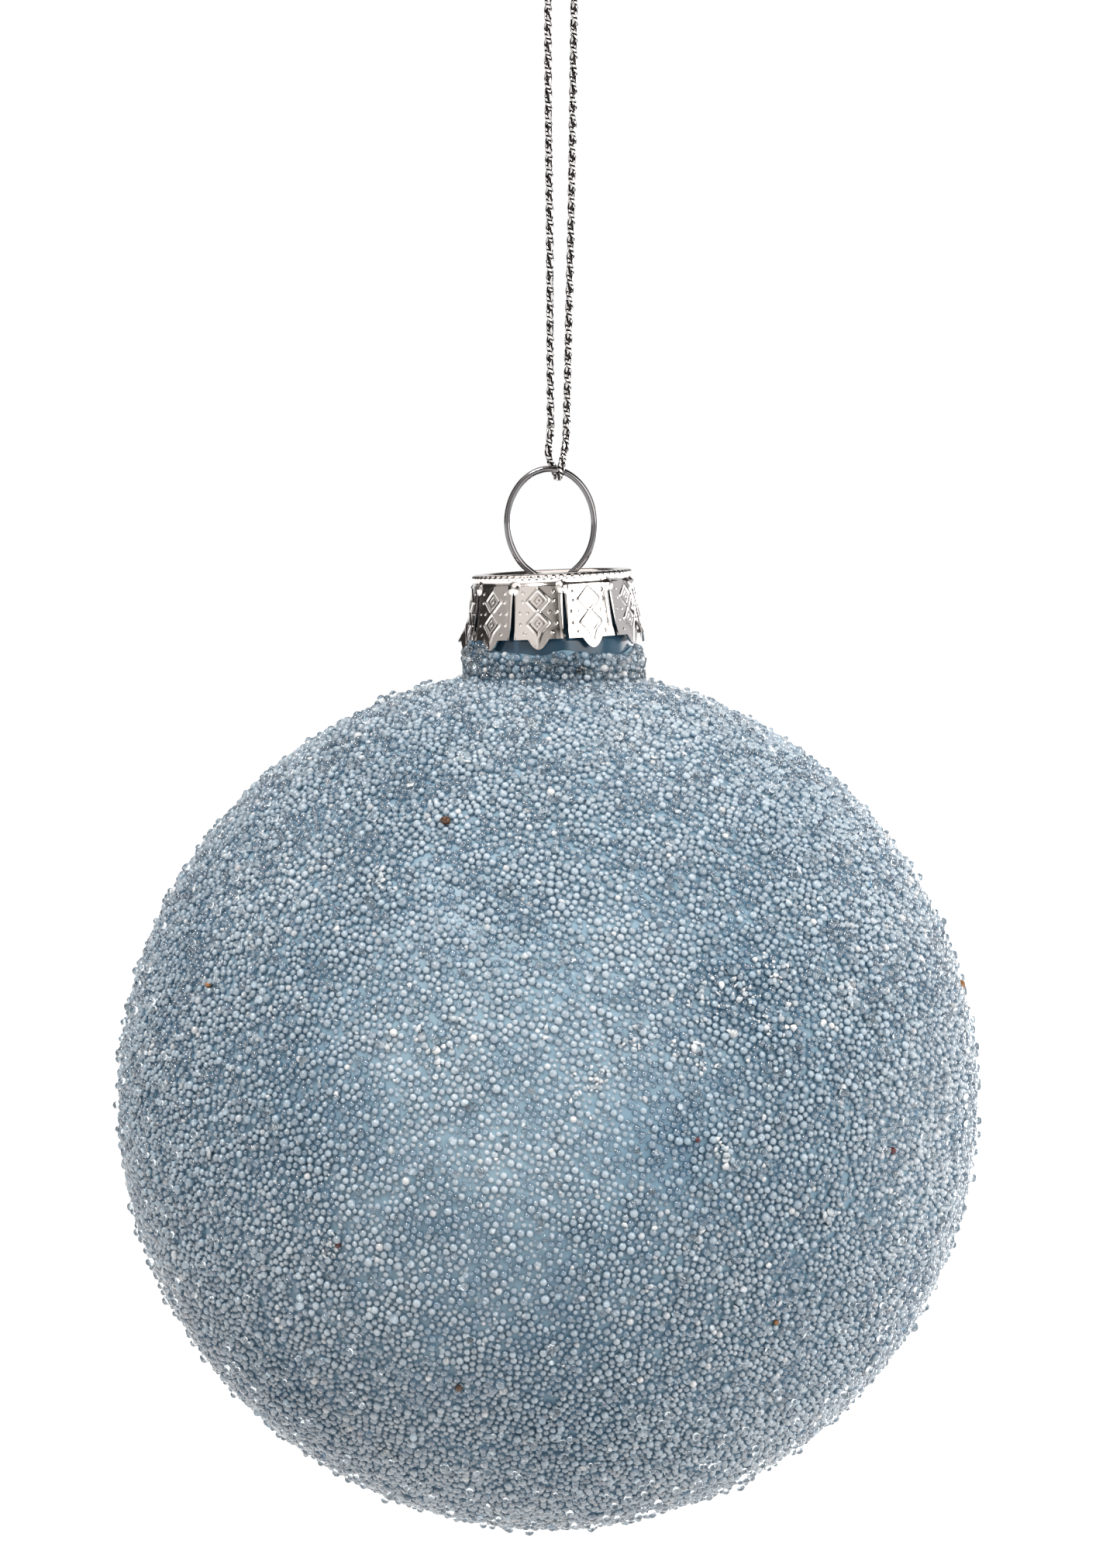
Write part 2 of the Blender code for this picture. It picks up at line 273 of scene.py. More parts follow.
def softbox(name, place, size, power, colour="ffffff"):
    """A rectangular soft light that points at the ball."""
    data = bpy.data.lights.new(name, "AREA")
    data.shape = "RECTANGLE"
    data.size, data.size_y = size
    data.energy = power
    data.color = linear(colour)[:3]
    light = add_object(name, data)
    light.location = place
    light.rotation_euler = (Vector(place) - BALL).to_track_quat("Z", "Y").to_euler()


def make_studio():
    """A white sweep behind the ornament, brightest at the right, that lights the ball's sides. Bright metal
    and glass reflect a darker room, with a glow in front to the left, and the soft lights. It looks white
    itself, and through clear beads."""
    world = bpy.data.worlds.new("studio")
    bpy.context.scene.world = world
    world.use_nodes = True
    tree = world.node_tree
    tree.nodes.clear()
    aim = node(tree, "TexCoord").outputs["Generated"]
    depth = node(tree, "SeparateXYZ", {0: aim}).outputs["Y"]
    along = {"operation": "DOT_PRODUCT"}
    aside = node(tree, "VectorMath", {0: aim, 1: (0.5, 0.85, 0.0)}, **along).outputs["Value"]
    ahead = node(tree, "VectorMath", {0: aim, 1: (-0.5, -0.866, 0.0)}, **along).outputs["Value"]
    sweep = node(tree, "MapRange", {"Value": aside, "From Min": -0.5, "From Max": 0.6}, **SMOOTH)
    front = node(tree, "MapRange", {"Value": ahead, "From Min": 0.74, "From Max": 0.9}, **SMOOTH)
    behind = node(tree, "MapRange", {"Value": depth, "From Min": 0.8, "From Max": 0.97}, **SMOOTH)
    path = node(tree, "LightPath")
    light = node(tree, "Mix", {0: sweep.outputs[0], 6: linear("787778"), 7: linear("ffffff")}, **RGBA)
    glow = node(tree, "Mix", {0: front.outputs[0], 6: linear("35312f"), 7: linear("c2bdb8")}, **RGBA)
    room = node(tree, "Mix", {0: behind.outputs[0], 6: glow.outputs[2], 7: linear("f4f4f4")}, **RGBA)
    ends = {0: path.outputs["Is Glossy Ray"], 6: light.outputs[2], 7: room.outputs[2]}
    shown = node(tree, "Mix", ends, **RGBA)
    rays = {0: path.outputs["Is Camera Ray"], 1: path.outputs["Is Transmission Ray"]}
    direct = node(tree, "Math", rays, operation="MAXIMUM").outputs[0]
    seen = node(tree, "Mix", {0: direct, 6: shown.outputs[2], 7: linear("ffffff")}, **RGBA)
    sky = node(tree, "Background", {"Color": seen.outputs[2], "Strength": 1.0})
    node(tree, "OutputWorld", {"Surface": sky.outputs[0]})
    # Place and size in metres, power in watts
    softbox("key", (0.82, -0.75, 0.35), (1.25, 0.9), 13.2, "fffaf5")
    softbox("spark", (-0.5, -0.75, 1.1), (0.36, 0.36), 17.0, "fffaf5")
    softbox("fill", (-1.15, -0.65, 0.3), (2.0, 1.4), 4.5, "f6f1ee")
    softbox("rim", (1.3, 0.5, 0.15), (1.2, 1.2), 3.4, "f0f1f4")
    softbox("edge", (0.85, 1.0, -0.11), (1.2, 0.34), 6.5, "f8f6f8")
    softbox("top", (-0.4, 0.1, 0.95), (1.2, 1.0), 5.2, "fdf6f2")
    view = bpy.context.scene.view_settings
    view.view_transform = "Standard"
    view.look = "None"


def make_floor(finish):
    """A wide round floor well below the ornament."""
    pick_only()
    bpy.ops.mesh.primitive_circle_add(vertices=96, radius=6.0, fill_type="NGON", location=(0, 0, -0.33))
    floor = bpy.context.object
    floor.name = "floor"
    floor.data.materials.append(finish)


def floor_paper():
    """Matt white background paper, lit from under: white to the eye, and a weak light on the ball."""
    made, tree, shader = finish_of("white_background_paper", Roughness=0.9)
    grain = node(tree, "TexNoise", {"Vector": node(tree, "TexCoord").outputs["Object"], "Scale": 3.0})
    two_tone(tree, shader, grain.outputs["Fac"], "969696", "9a9a9a")
    glow = node(tree, "Emission", {"Color": linear("ffffff"), "Strength": 1.0})
    lit = node(tree, "AddShader", {0: shader.outputs[0], 1: glow.outputs[0]})
    path = node(tree, "LightPath")
    ends = {0: path.outputs["Is Diffuse Ray"], 1: lit.outputs[0], 2: shader.outputs[0]}
    both = node(tree, "MixShader", ends)
    tree.links.new(both.outputs[0], tree.nodes["Material Output"].inputs["Surface"])
    return made


# Materials of the ornament

# Darker and paler places on the front, partly the crust's own uneven blue and partly painted shade and
# painted light, in millimetres across and up from the ball's centre on its front: place, radius, and how
# much deeper (positive) or paler (negative) the blue is there
CLOUDS_AND_PAINTED_LIGHT = [
    ((-22.0, 1.0), 12.0, 0.9), ((17.5, 12.0), 10.0, 1.0), ((-23.5, -26.0), 9.0, 0.8),
    ((2.0, -30.0), 10.0, 0.6), ((-11.0, 32.0), 8.0, 0.4), ((11.0, 0.0), 9.5, 1.1),
    ((-3.0, -2.0), 10.0, -0.7), ((-10.0, 12.0), 12.0, -0.5), ((33.0, -4.0), 14.0, -0.8),
    ((-24.0, 22.0), 13.0, -0.8), ((30.0, 18.0), 9.0, -0.4),
]


def on_front(across, up, radius):
    """The place on the front of a sphere about the ball's centre, from how far across and up it is."""
    return (across, -math.sqrt(radius**2 - across**2 - up**2), up)


def clouds_and_painted_light(tree):
    """How deep the blue is, from 0 to 1 and past 1 on the neck: slow random clouds of about 20 mm, the
    front's own places, partly painted light and shade, and painted shade up the neck, none on its right
    side."""
    place = node(tree, "TexCoord").outputs["Object"]
    slow = {"Vector": place, "Scale": 1 / (26 * MM), "Detail": 2.0, "Roughness": 0.5}
    cloud = node(tree, "TexNoise", slow)
    ends = {"From Min": 0.3, "From Max": 0.7, "To Min": 0.25, "To Max": 0.65}
    depth = node(tree, "MapRange", {"Value": cloud.outputs["Fac"], **ends}).outputs[0]
    for (across, up), radius, strength in CLOUDS_AND_PAINTED_LIGHT:
        centre = BALL + Vector(on_front(across, up, CRUST_FOOT)) * MM
        away = node(tree, "VectorMath", {0: place, 1: tuple(centre)}, operation="DISTANCE")
        ends = {"From Min": radius * MM, "From Max": 0.0, "To Max": 0.4 * strength}
        near = node(tree, "MapRange", {"Value": away.outputs["Value"], **ends}, **SMOOTH)
        depth = node(tree, "Math", {0: depth, 1: near.outputs[0]}, operation="ADD").outputs[0]
    # Painted shade: the blue deepens up the neck, except on its right side, where the key light falls.
    axes = node(tree, "SeparateXYZ", {0: place}).outputs
    height = node(
        tree, "MapRange",
        {"Value": axes["Z"], "From Min": BALL.z + 37.5 * MM, "From Max": BALL.z + 40 * MM},
        **SMOOTH,
    )
    middle = node(
        tree, "MapRange", {"Value": axes["X"], "From Min": 8 * MM, "From Max": 2 * MM, "To Max": 0.6}
    )
    neck = node(tree, "Math", {0: height.outputs[0], 1: middle.outputs[0]}, operation="MULTIPLY")
    front = node(tree, "Math", {0: depth, 1: 0.0}, operation="ADD", use_clamp=True)
    return node(tree, "Math", {0: front.outputs[0], 1: neck.outputs[0]}, operation="ADD").outputs[0]


def by_depth(tree, pale, deep, neck_shade_past_deep=True):
    """A colour between a pale and a deep blue by how deep it is there, and deeper still on the neck, where
    the depth holds painted shade.
    """
    colours = {0: clouds_and_painted_light(tree), 6: linear(pale), 7: linear(deep)}
    return node(tree, "Mix", colours, **RGBA, clamp_factor=not neck_shade_past_deep).outputs[2]


def lacquered_glass():
    """Blown soda-lime glass lacquered blue inside: a deep colour under a hard, wet gloss, paler and deeper
    in clouds that are partly painted light and shade, with painted shade up the neck.
    """
    made, tree, shader = finish_of("blue_lacquered_glass", Roughness=0.2, IOR=1.5)
    tree.links.new(by_depth(tree, "3a5c72", "2a4a5f"), shader.inputs["Base Color"])
    ripple = node(
        tree, "TexNoise", {"Vector": node(tree, "TexCoord").outputs["Object"], "Scale": 1 / (3 * MM)}
    )
    bump = node(tree, "Bump", {"Height": ripple.outputs["Fac"], "Strength": 0.25, "Distance": 0.1 * MM})
    tree.links.new(bump.outputs[0], shader.inputs["Normal"])
    return made


def microbead_glass():
    """Soda-lime glass beads glued on in a crust, under a glossy film of glue that gives each its glint. Most
    are hazed, and each is painted blue at its foot and pale in its crown: painted shade where the beads meet
    and painted light on their tops. The clear ones are small dark lenses. A few are frosted white, and more
    white ones stand for painted glints on the neck and painted light towards the ball's sides."""
    made, tree, shader = finish_of(
        "glass_microbeads", Roughness=0.06, IOR=1.52, Coat_Weight=1.0, Coat_Roughness=0.03, Coat_IOR=1.6
    )
    crown = node(tree, "Attribute", attribute_name="crown").outputs["Fac"]
    tint = node(tree, "Attribute", attribute_name="tint").outputs["Fac"]
    # Painted shade round each bead's foot, where the beads meet, and painted light on its crown.
    foot = by_depth(tree, "b0cbdd", "6f98b3")
    top = by_depth(tree, "d4e0e9", "98b4c7", neck_shade_past_deep=False)
    rise = node(tree, "MapRange", {"Value": crown, "From Min": -0.15, "From Max": 0.65}, **SMOOTH)
    body = node(tree, "Mix", {0: rise.outputs[0], 6: foot, 7: top}, **RGBA)
    # White beads: a few frosted at random, and more that stand for painted glints and painted light, chosen
    # in crust.
    frost_and_glint = node(tree, "MapRange", {"Value": tint, "From Min": 0.68, "From Max": 1.0})
    pale = node(tree, "Mix", {0: frost_and_glint.outputs[0], 6: body.outputs[2], 7: linear("f4f5f6")}, **RGBA)
    shade = node(tree, "MapRange", {"Value": tint, "From Min": 0.0, "From Max": 0.5, "To Min": 0.85})
    toned = node(
        tree, "Mix", {0: 1.0, 6: pale.outputs[2], 7: shade.outputs[0]}, **RGBA,
        blend_type="MULTIPLY",
    )
    tree.links.new(toned.outputs[2], shader.inputs["Base Color"])
    clear = node(tree, "Attribute", attribute_name="clear").outputs["Fac"]
    tree.links.new(clear, shader.inputs["Transmission Weight"])
    return made


def hazy_adhesive():
    """The glue that holds the beads, gone hazy over the lacquer: a pale skin between their feet."""
    made, tree, shader = finish_of("hazy_adhesive", Roughness=0.4, IOR=1.45)
    # Its blue follows the clouds, partly painted light and shade, and painted shade up the neck.
    tree.links.new(by_depth(tree, "8fa9b8", "64879d"), shader.inputs["Base Color"])
    return made


def clear_glass():
    """Clear soda-lime beads that sit proud of the crust: they bend what is behind them."""
    return finish_of(
        "clear_bead_glass", Roughness=0.02, IOR=1.5, Base_Color=linear("f4f8fa"), Transmission_Weight=1.0
    )[0]


def flake_glass():
    """Crushed glass flakes, frosted by their broken faces: white, a little see-through, with glints."""
    made, tree, shader = finish_of("crushed_glass_flakes", Roughness=0.12, IOR=1.5, Transmission_Weight=0.2)
    tint = node(tree, "Attribute", attribute_name="tint").outputs["Fac"]
    two_tone(tree, shader, tint, "bfcad1", "f0f3f6")
    return made


def stray_glass(name, code):
    """A coloured bead from another batch."""
    made, tree, shader = finish_of(name, Roughness=0.08, IOR=1.52)
    grain = node(
        tree, "TexNoise", {"Vector": node(tree, "TexCoord").outputs["Object"], "Scale": 1 / (0.3 * MM)}
    )
    two_tone(tree, shader, grain.outputs["Fac"], code, "201412")
    return made


def pressed_sheet():
    """Bright tinned sheet, pressed between dies: mirror bright with a faint orange peel from the press."""
    made, tree, shader = finish_of("bright_pressed_sheet", Metallic=1.0, Base_Color=linear("dcd8d5"))
    place = node(tree, "TexCoord").outputs["Object"]
    peel = node(tree, "TexNoise", {"Vector": place, "Scale": 1 / (0.7 * MM), "Detail": 3.0})
    bump = node(tree, "Bump", {"Height": peel.outputs["Fac"], "Strength": 0.35, "Distance": 0.04 * MM})
    tree.links.new(bump.outputs[0], shader.inputs["Normal"])
    wear = node(tree, "TexNoise", {"Vector": place, "Scale": 1 / (2.5 * MM), "Detail": 4.0})
    uneven_gloss(tree, shader, wear.outputs["Fac"], 0.35, 0.7, 0.07, 0.2)
    return made


def drawn_wire():
    """Nickel-plated spring wire, drawn through a die: bright, with faint lines along its length."""
    made, tree, shader = finish_of("nickel_plated_wire", Metallic=1.0, Base_Color=linear("787779"))
    place = node(tree, "TexCoord").outputs["UV"]
    lines = node(tree, "Mapping", {"Vector": place, "Scale": (1.0, 40.0, 1.0)})
    draw = node(tree, "TexNoise", {"Vector": lines.outputs[0], "Scale": 1.0, "Detail": 2.0})
    uneven_gloss(tree, shader, draw.outputs["Fac"], 0.3, 0.7, 0.08, 0.22)
    return made


def foil_thread():
    """Metallised polyester foil yarn: a flat silver strip in bright turns with near-black bands between
    them.
    The turns are drawn coarser than they are, so that they show."""
    made, tree, shader = finish_of("silver_foil_thread", Metallic=1.0)
    along = node(tree, "TexCoord").outputs["UV"]
    threads = node(tree, "TexWave", {"Vector": along, "Scale": 0.95, "Distortion": 0.6, "Detail": 1.0})
    bump = node(tree, "Bump", {"Height": threads.outputs["Fac"], "Strength": 0.5, "Distance": 0.02 * MM})
    tree.links.new(bump.outputs[0], shader.inputs["Normal"])
    wound = node(
        tree, "TexWave", {"Vector": along, "Scale": 0.14, "Distortion": 1.5, "Detail": 1.0},
        bands_direction="DIAGONAL",
    )
    foil = node(tree, "MapRange", {"Value": wound.outputs["Fac"], "From Min": 0.38, "From Max": 0.55})
    two_tone(tree, shader, foil.outputs[0], "0f0e0d", "e2e0df")
    glitter = node(tree, "TexNoise", {"Vector": along, "Scale": 5.0, "Detail": 2.0})
    uneven_gloss(tree, shader, glitter.outputs["Fac"], 0.35, 0.7, 0.05, 0.2)
    return made


def core_yarn():
    """Dark polyester core of the braid, seen only as the black in its gaps."""
    made, tree, shader = finish_of("dark_core_yarn", Roughness=0.85)
    along = node(tree, "TexCoord").outputs["UV"]
    fibre = node(tree, "TexNoise", {"Vector": along, "Scale": 8.0, "Detail": 2.0})
    two_tone(tree, shader, fibre.outputs["Fac"], "141212", "3a3636")
    return made


# Cord: four flat plaits braided round a core, two turning each way

BRAID_PITCH = 3.06 * MM  # one turn of a plait
PLAIT_HALF_WIDTH = 0.175 * MM
PLAIT_HALF_THICKNESS = 0.08 * MM
PLAIT_RADIUS = 0.25 * MM  # from the cord's centre line to the plait's, midway between over and under
WEAVE_DEPTH = 0.06 * MM
PLAIT_SIDES = 10
CORE_RADIUS = 0.13 * MM
BRAID_STEP = BRAID_PITCH / 22


def frames_along(route):
    """A route's points, and at each two directions across it that turn with it and not about it."""
    line = np.array([tuple(p) for p in route])
    tangent = np.gradient(line, axis=0)
    tangent = unit(tangent)
    across = np.zeros_like(line)
    first = np.cross(tangent[0], (0.0, 1.0, 0.0))
    across[0] = first / np.linalg.norm(first)
    for i in range(1, len(line)):
        turned = across[i - 1] - tangent[i] * (across[i - 1] @ tangent[i])
        across[i] = turned / np.linalg.norm(turned)
    return line, across, np.cross(tangent, across)


def ribbon(line, face_out, half_width, half_thickness, sides):
    """Points and faces of a tube with an oval section: its thin way lies along face_out."""
    tangent = np.gradient(line, axis=0)
    tangent = unit(tangent)
    out = face_out - tangent * (face_out * tangent).sum(1)[:, None]
    out = unit(out)
    side = np.cross(tangent, out)
    turn = np.arange(sides) * math.tau / sides
    wide = half_width * np.cos(turn)[None, :, None] * side[:, None]
    thick = half_thickness * np.sin(turn)[None, :, None] * out[:, None]
    points = (line[:, None] + wide + thick).reshape(-1, 3)
    faces = []
    for i in range(len(line) - 1):
        for j in range(sides):
            k = (j + 1) % sides
            faces.append((i * sides + j, i * sides + k, (i + 1) * sides + k, (i + 1) * sides + j))
    faces.append(tuple(range(sides))[::-1])
    faces.append(tuple(range((len(line) - 1) * sides, len(line) * sides)))
    return points, faces


def braid(name, route, finishes, loose_end=0.0):
    """A round braid along a route. Over loose_end, in metres, its plaits spread apart towards the end."""
    line, across, beside = frames_along(smooth_route(route, BRAID_STEP))
    steps = np.linalg.norm(np.diff(line, axis=0), axis=1)
    run = np.concatenate([[0.0], np.cumsum(steps)])
    turn = math.tau * run / BRAID_PITCH
    spread = np.clip(1 - (run[-1] - run) / loose_end, 0, 1) ** 1.5 if loose_end else np.zeros(len(run))
    points, faces, slots = [], [], []
    for way in (1, -1):
        for start in (0.0, math.pi):
            angle = start + way * turn + 0.35
            face_out = across * np.cos(angle)[:, None] + beside * np.sin(angle)[:, None]
            height = PLAIT_RADIUS + WEAVE_DEPTH * way * np.cos(2 * turn) + 0.45 * MM * spread
            centre = line + face_out * height[:, None]
            width = PLAIT_HALF_WIDTH * (1 - 0.4 * spread.max())
            made = ribbon(centre, face_out, width, PLAIT_HALF_THICKNESS, PLAIT_SIDES)
            base = sum(len(p) for p in points)
            points.append(made[0])
            faces += [tuple(base + v for v in f) for f in made[1]]
            slots += [0] * len(made[1])
    core = ribbon(line, across, CORE_RADIUS, CORE_RADIUS, 8)
    base = sum(len(p) for p in points)
    points.append(core[0])
    faces += [tuple(base + v for v in f) for f in core[1]]
    slots += [1] * len(core[1])
    obj = new_mesh(name, np.concatenate(points), faces)
    settle(obj, name, finishes)
    obj.data.polygons.foreach_set("material_index", slots)
    lay_uv(obj)
    return obj


def lay_uv(obj):
    """A UV map in tenths of a millimetre for tubes: u round the tube and v along it, from vertex order."""
    uv = obj.data.uv_layers.new(name="along")
    loops = np.zeros(len(obj.data.loops), np.int32)
    obj.data.loops.foreach_get("vertex_index", loops)
    side = loops % PLAIT_SIDES
    ring = loops // PLAIT_SIDES
    u = np.abs(side - PLAIT_SIDES / 2) / PLAIT_SIDES * 8
    v = ring * (BRAID_STEP / (0.1 * MM))
    uv.data.foreach_set("uv", np.stack([u, v], 1).astype(np.float32).ravel())


def hanging_cord(finishes):
    route = [Vector(p) * MM for p in LEFT_STRAND + BIGHT + RIGHT_STRAND]
    route = [Vector((-0.25, 0.0, 1.5)) * MM, *route, Vector((0.25, 0.0, 1.5)) * MM]
    cord = braid("hanging_cord", route, finishes)
    path = smooth_route(route, 0.6 * MM)
    length = sum((q - p).length for p, q in zip(path, path[1:]))
    return cord, path, length


def loop_knot(finishes):
    """Both ends of the cord in one overhand knot: wraps round the middle, then two tails out of the top."""
    parts = []
    for side in (-1, 1):
        start = 0.0 if side > 0 else math.pi
        wrap = []
        for i in range(15):
            turn = start + i / 14 * math.tau * 1.15
            reach = 0.78 * MM * min(1.0, 0.35 + i / 4, 0.35 + (14 - i) / 3)
            height = (1.45 + 1.75 * i / 14) * MM
            wrap.append(Vector((reach * math.cos(turn), reach * math.sin(turn), height)))
        tuck = [Vector((side * 0.2, 0.05 * side, 3.35)) * MM, Vector((side * 0.42, 0.05 * side, 3.95)) * MM]
        tail = [Vector((side * (0.45 + 0.287 * up), 0.02 * up, 3.2 + up)) * MM for up in (1.6, 2.6, 3.6)]
        parts.append(braid("plait", wrap + tuck + tail, finishes, loose_end=1.0 * MM))
    pick_only(parts[0])
    parts[1].select_set(True)
    bpy.ops.object.join()
    knot = bpy.context.object
    knot.name = knot.data.name = "loop_knot"
    return knot


# Wire hanger


def wire_route():
    """Left leg, oval ring, right leg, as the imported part's wire runs."""
    frame_of_cap = cap_frame()
    hole = [(1.62, -0.28), (1.32, -0.66), (1.2, -1.1)]
    spread = [(1.35, -1.9), (1.95, -3.4), (3.0, -5.6), (4.0, -8.2), (4.7, -11.4), (4.95, -15.0)]
    spread.append((4.95, -19.5))
    legs = []
    for side in (-1, 1):
        through = [frame_of_cap @ Vector((RING_SHIFT + side * x * MM, 0.0, z * MM)) for x, z in hole]
        inside = [Vector((side * x * MM, 0.0, BALL.z + CAP_TOP + z * MM)) for x, z in spread]
        legs.append(through + inside)
    stop = math.asin(4.4 * MM / RING_HALF_HEIGHT)
    start, end = math.pi + stop, -stop
    ring = []
    for i in range(27):
        turn = start + (end - start) * i / 26
        x = RING_SHIFT + RING_HALF_WIDTH * math.cos(turn)
        z = RING_CENTRE + RING_HALF_HEIGHT * math.sin(turn)
        ring.append(frame_of_cap @ Vector((x, 0.0, z)))
    return legs[0][::-1] + ring + legs[1]


def hanger_wire(finish):
    """One length of round wire, swept along its route, with its cut ends slightly rounded."""
    pick_only()
    route = smooth_route(wire_route(), 0.3 * MM)
    bpy.ops.curve.primitive_nurbs_path_add()
    wire = bpy.context.object
    wire.data.splines.clear()
    spline = wire.data.splines.new("POLY")
    spline.points.add(len(route) - 1)
    for i, (point, place) in enumerate(zip(spline.points, route)):
        point.co = (*place, 1.0)
        point.radius = 0.75 if i in (0, len(route) - 1) else 1.0
    wire.data.bevel_depth = WIRE_RADIUS
    wire.data.bevel_resolution = 4
    wire.data.use_fill_caps = True
    wire.data.resolution_u = 1
    bpy.ops.object.convert(target="MESH")
    return settle(bpy.context.object, "hanger_wire", [finish])


# Cap

CELLS_ACROSS = 44
CELLS_DOWN = 52
SHEET = 0.2 * MM
# Outer side of the skirt from the rim's foot to its bottom edge, as (depth, radius) in millimetres
SKIRT = [
    (0.42, 7.35), (0.78, 7.25), (1.05, 7.42), (1.6, 7.5), (2.7, 7.66), (3.8, 7.83), (4.9, 8.02), (5.95, 8.25)
]
SLOT_START = 1.6  # depth in millimetres
TONGUE_START = 5.3
CORNER_START = 5.0


def skirt_radius(depth):
    depths, radii = zip(*SKIRT)
    return float(np.interp(depth, depths, radii))


def swell(distance, reach):
    """A rounded bump that falls from 1 to 0 over its reach."""
    share = min(abs(distance) / reach, 1.0)
    return (1 - share * share) ** 2


def relief(across, depth, edge):
    """How far the pressed pattern stands out, in millimetres, at a place on a tab: two double diamonds with
    a dot in each, loose dots, a shield over each slot and a lip along it. edge is how far the place is from
    the middle of the nearest slot."""
    height = 0.0
    for middle in (2.42, 4.52):
        reach = abs(across) / 1.0 + abs(depth - middle) / 1.08
        height = max(height, 0.1 * swell((reach - 1.0) * 0.72, 0.16))
        height = max(height, 0.05 * swell((reach - 0.5) * 0.72, 0.12))
        height = max(height, 0.1 * swell(math.hypot(across, depth - middle), 0.15))
    for side, down in ((1.4, 1.65), (1.42, 2.47), (1.7, 3.5), (1.02, 3.5), (1.66, 4.55), (1.3, 5.4)):
        height = max(height, 0.1 * swell(math.hypot(abs(across) - side, depth - down), 0.15))
    shield = math.hypot(edge / 0.62, (depth - 1.2) / 0.68)
    height = max(height, 0.26 * swell(shield, 1.0) ** 0.7)
    height = max(height, 0.05 * swell(edge - 0.3, 0.16) if depth > 1.9 else 0.0)
    return height


def cap_tab():
    """One tab with its share of the band above it, from a grid: the pattern, slot edges and tongue."""
    pick_only()
    bpy.ops.mesh.primitive_grid_add(x_subdivisions=CELLS_ACROSS, y_subdivisions=CELLS_DOWN, size=2.0)
    tab = bpy.context.object
    half_tab = math.pi / TAB_COUNT
    top, bottom = SKIRT[0][0], SKIRT[-1][0]
    for vertex in tab.data.vertices:
        across, down = vertex.co.x, (1 - vertex.co.y) / 2
        depth = top + (bottom - top) * down
        radius = skirt_radius(depth)
        below = max(0.0, (depth - SLOT_START) / (bottom - SLOT_START))
        slot = (0.1 + 0.17 * below) * min(1.0, below * 14)
        half_angle = half_tab - slot / radius
        tongue = TONGUE_LENGTH / MM * max(0.0, math.cos(min(abs(across) / 0.42, 1.0) * math.pi / 2)) ** 0.9
        drop = tongue * max(0.0, (depth - TONGUE_START) / (bottom - TONGUE_START))
        sideways = across * half_angle * radius
        edge = half_tab * radius - abs(sideways)
        out = radius + relief(sideways, depth, edge) + 0.12 * drop
        corner = max(0.0, (depth - CORNER_START) / (bottom - CORNER_START)) * max(0.0, 1 - edge / 0.9)
        out += 0.12 * corner
        turn = across * half_angle - math.pi / 2
        vertex.co = Vector((out * math.cos(turn), out * math.sin(turn), -(depth + drop))) * MM
    return tab


def pressed_cap(finish):
    """Ten tabs round the skirt, then the rim and the recessed disc drawn in from their top edge."""
    tab = cap_tab()
    tabs = []
    for i in range(TAB_COUNT):
        copy = tab.copy()
        copy.data = tab.data.copy()
        bpy.context.scene.collection.objects.link(copy)
        turn = FIRST_SLOT + (2 * i + 1) * math.pi / TAB_COUNT
        copy.data.transform(Matrix.Rotation(turn, 4, "Z"))
        if i in BENT_CORNERS:
            bend_corner(copy, *BENT_CORNERS[i])
        tabs.append(copy)
    bpy.data.objects.remove(tab)
    pick_only(tabs[0])
    for copy in tabs:
        copy.select_set(True)
    bpy.ops.object.join()
    cap = bpy.context.object
    bpy.ops.object.mode_set(mode="EDIT")
    bpy.ops.mesh.select_all(action="SELECT")
    bpy.ops.mesh.remove_doubles(threshold=0.002 * MM)
    top = -SKIRT[0][0] * MM
    select_where(cap, lambda co: co.z > top - 0.001 * MM)
    rim = [(7.35, -0.42), (7.36, -0.3), (7.3, -0.16), (7.15, -0.04), (6.95, 0.0), (6.7, 0.02), (6.5, 0.0)]
    disc = [(6.3, -0.07), (6.15, -0.24), (6.0, -0.34), (5.8, -0.36), (5.0, -0.35), (4.0, -0.33)]
    hub = [(3.3, -0.33), (3.1, -0.3), (2.9, -0.2), (2.6, -0.16), (1.6, -0.16), (0.8, -0.16)]
    draw_profile([(r * MM, z * MM) for r, z in rim + disc + hub])
    bpy.ops.mesh.edge_face_add()
    bpy.ops.mesh.select_all(action="SELECT")
    bpy.ops.mesh.normals_make_consistent(inside=False)
    bpy.ops.object.mode_set(mode="OBJECT")
    mill_rim(cap)
    apply_modifier(cap, "SOLIDIFY", thickness=SHEET, offset=-1.0, use_even_offset=False)
    for side in (-1, 1):
        pick_only()
        across = RING_SHIFT + side * 1.55 * MM
        bpy.ops.mesh.primitive_cylinder_add(
            vertices=24, radius=0.7 * MM, depth=3 * MM, location=(across, 0.0, PLATE_TOP)
        )
        punch = bpy.context.object
        apply_modifier(cap, "BOOLEAN", operation="DIFFERENCE", object=punch)
        bpy.data.objects.remove(punch)
    return settle(cap, "pressed_cap", [finish], place=cap_frame(), smooth_deg=50)


# Bottom corners of tabs that a knock has bent out: tab, its corner in degrees from the front towards the
# right, how far out in millimetres, and how far up the bend starts
BENT_CORNERS = {2: (115.6, 0.55, 0.95), 7: (-93.0, 0.8, 2.6)}


def bend_corner(tab, corner, reach, start):
    """Bends one bottom corner of a tab outwards."""
    for vertex in tab.data.vertices:
        turn = math.atan2(vertex.co.y, vertex.co.x)
        away = abs((math.radians(corner - 90) - turn + math.pi) % math.tau - math.pi)
        low = max(0.0, (-vertex.co.z / MM - SKIRT[-1][0] + start) / start)
        near = max(0.0, 1 - away / 0.2) * low
        vertex.co += Vector((math.cos(turn), math.sin(turn), -0.2)) * reach * MM * near**1.5


